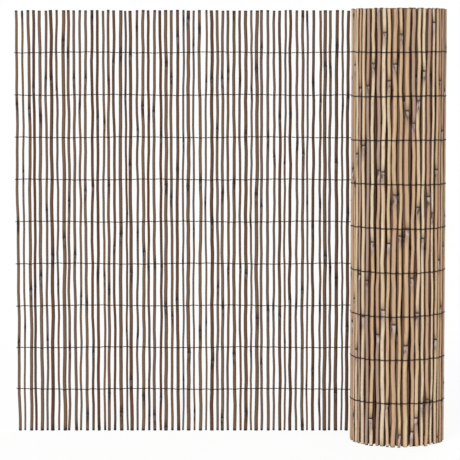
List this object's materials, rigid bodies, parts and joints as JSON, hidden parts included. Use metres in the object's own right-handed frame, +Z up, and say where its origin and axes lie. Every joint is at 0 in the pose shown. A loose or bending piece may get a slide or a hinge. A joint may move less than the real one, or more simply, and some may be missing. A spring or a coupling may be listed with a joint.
{
  "type": "reed screen",
  "caption": "Natural reed screen with wire binding, partly unrolled: an open stretch you can see through and an upright roll.",
  "frame": {"origin": "centre of the whole screen at floor level", "axes": "+Z up along the reeds, +X along the open stretch towards the roll, -Y towards the viewer, where the roll bulges out"},
  "size_m": [1.008, 0.2266, 1],
  "materials": {
    "dark_reed": "dull, streaked along the reed",
    "pale_reed": "satin, with dark rings at the nodes",
    "binding_wire": "dull dark"
  },
  "bodies": {
    "root": {"open_mat": "dark_reed", "roll": "pale_reed", "front_wire_1": "binding_wire", "front_wire_2": "binding_wire", "front_wire_3": "binding_wire", "front_wire_4": "binding_wire", "front_wire_5": "binding_wire", "front_wire_6": "binding_wire", "front_wire_7": "binding_wire", "front_wire_8": "binding_wire", "front_wire_9": "binding_wire", "back_wire_1": "binding_wire", "back_wire_2": "binding_wire", "back_wire_3": "binding_wire", "back_wire_4": "binding_wire", "back_wire_5": "binding_wire", "back_wire_6": "binding_wire", "back_wire_7": "binding_wire", "back_wire_8": "binding_wire", "back_wire_9": "binding_wire"}
  },
  "joints": []
}
